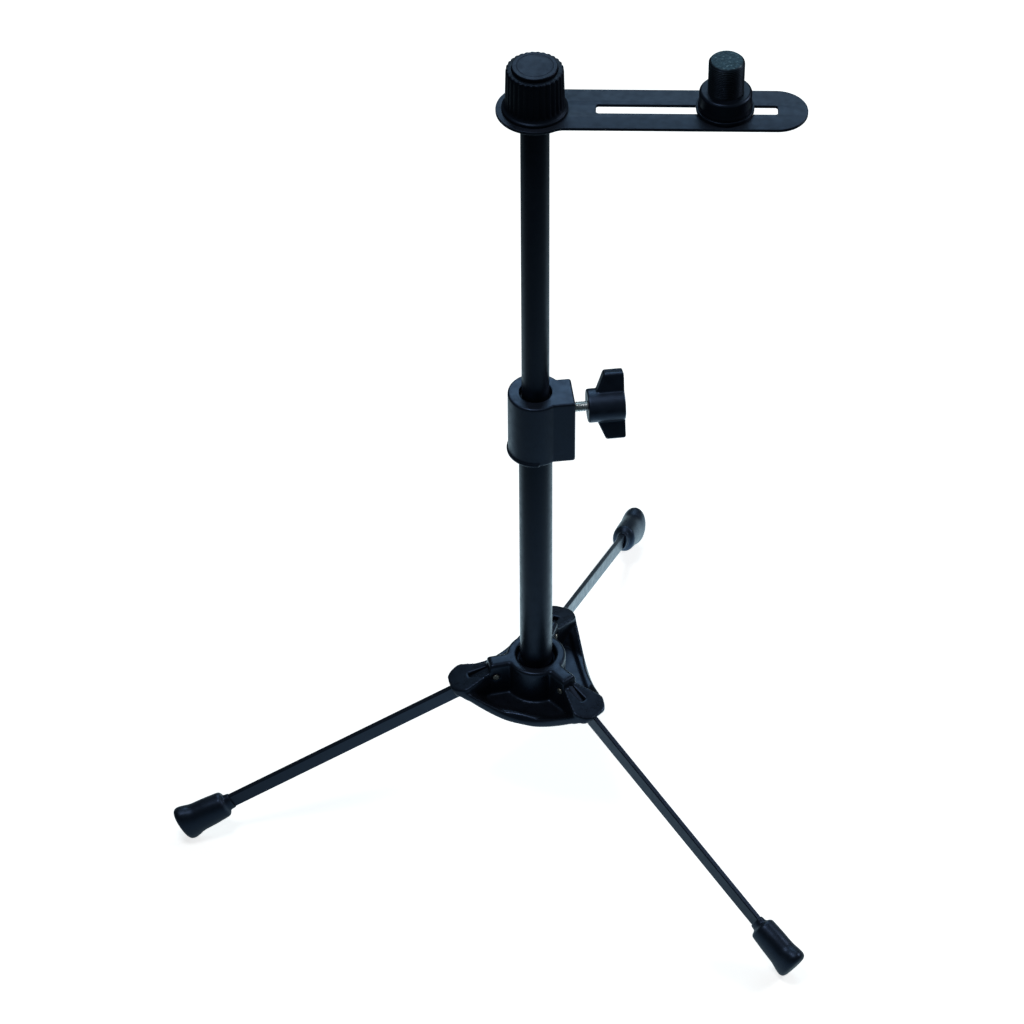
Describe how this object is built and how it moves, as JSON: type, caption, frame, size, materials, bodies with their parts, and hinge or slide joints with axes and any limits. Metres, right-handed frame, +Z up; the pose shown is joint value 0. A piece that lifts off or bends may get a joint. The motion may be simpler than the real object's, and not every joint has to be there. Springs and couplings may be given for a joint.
{
  "type": "tabletop microphone stand",
  "caption": "Folding tripod table stand: hinged flat-bar legs, telescoping column with screw clamp, and a swivelling slotted bar that carries a threaded microphone stud.",
  "frame": {"origin": "centre of the hub's flat underside, on the column axis", "axes": "+Z up along the column, +X along the slotted bar at rest, +Y to the back; the floor lies 66 mm below the origin"},
  "size_m": [0.3152, 0.3181, 0.4603],
  "materials": {
    "hub_plastic": "satin moulded",
    "black_paint": "satin powder coat",
    "rubber": "soft semi-matte",
    "knob_plastic": "satin moulded",
    "bright_steel": "zinc plated",
    "dark_steel": "blackened, worn on its end face",
    "brass": "machined",
    "nylon": "smooth"
  },
  "bodies": {
    "base": {"hub": "hub_plastic", "hub_cap": "hub_plastic", "tube_bolt": "bright_steel", "bolt_washer": "bright_steel", "tube_plug": "bright_steel", "leg_pins": "bright_steel", "lower_tube": "black_paint", "clamp_body": "hub_plastic", "clamp_bush": "nylon", "clamp_insert": "brass"},
    "sleeve": {"guide_sleeve": "nylon"},
    "column": {"upper_tube": "black_paint", "top_spigot": "bright_steel"},
    "bar": {"slotted_bar": "black_paint"},
    "nut_seat": {"nut_washer": "nylon"},
    "cap_nut": {"cap_nut": "knob_plastic", "nut_insert": "brass", "cap_disc": "knob_plastic"},
    "clamp_pad": {"clamp_pad": "nylon"},
    "clamp_knob": {"clamp_screw": "bright_steel", "clamp_handle": "knob_plastic"},
    "stud_seat": {"slot_washer": "bright_steel"},
    "stud": {"mic_stud": "dark_steel", "stud_base": "black_paint", "stud_flange": "black_paint", "lock_washer": "bright_steel", "stud_screw": "bright_steel"},
    "back_leg": {"back_leg": "black_paint", "back_foot": "rubber"},
    "left_leg": {"left_leg": "black_paint", "left_foot": "rubber"},
    "right_leg": {"right_leg": "black_paint", "right_foot": "rubber"}
  },
  "joints": [
    {"name": "back_leg_fold", "type": "hinge", "parent": "base", "child": "back_leg", "pos_m": [0.0059, 0.02057, 0.0159], "axis": [-0.9613, 0.2756, 0], "range_deg": [0, 66]},
    {"name": "left_leg_fold", "type": "hinge", "parent": "base", "child": "left_leg", "pos_m": [-0.02076, -0.00518, 0.0159], "axis": [0.2419, -0.9703, 0], "range_deg": [0, 66]},
    {"name": "right_leg_fold", "type": "hinge", "parent": "base", "child": "right_leg", "pos_m": [0.01487, -0.01539, 0.0159], "axis": [0.7193, 0.6947, 0], "range_deg": [0, 66]},
    {"name": "column_slide", "type": "slide", "parent": "base", "child": "sleeve", "axis": [0, 0, 1], "range_m": [-0.125, 0.02]},
    {"name": "column_turn", "type": "hinge", "parent": "sleeve", "child": "column", "pos_m": [0, 0, 0.157], "axis": [0, 0, 1], "continuous": true},
    {"name": "bar_swivel", "type": "hinge", "parent": "column", "child": "bar", "pos_m": [0, 0, 0.3669], "axis": [0, 0, 1], "continuous": true},
    {"name": "nut_lift", "type": "slide", "parent": "column", "child": "nut_seat", "axis": [0, 0, 1], "range_m": [0, 0.003]},
    {"name": "nut_spin", "type": "hinge", "parent": "nut_seat", "child": "cap_nut", "pos_m": [0, 0, 0.3769], "axis": [0, 0, 1], "range_deg": [0, 720.5]},
    {"name": "pad_travel", "type": "slide", "parent": "base", "child": "clamp_pad", "axis": [0.9903, 0.1392, 0], "range_m": [0, 0.0024]},
    {"name": "knob_turn", "type": "hinge", "parent": "clamp_pad", "child": "clamp_knob", "pos_m": [0.0198, 0.00278, 0.188], "axis": [0.9903, 0.1392, 0], "range_deg": [0, 1080.5]},
    {"name": "stud_slide", "type": "slide", "parent": "bar", "child": "stud_seat", "axis": [1, 0, 0], "range_m": [-0.0525, 0.0195]},
    {"name": "stud_turn", "type": "hinge", "parent": "stud_seat", "child": "stud", "pos_m": [0.0832, 0, 0.3669], "axis": [0, 0, 1], "continuous": true}
  ],
  "couplings": [
    {"joint": "nut_spin", "follows": "nut_lift", "rad_per_m": 4188.8},
    {"joint": "knob_turn", "follows": "pad_travel", "rad_per_m": 7854}
  ]
}
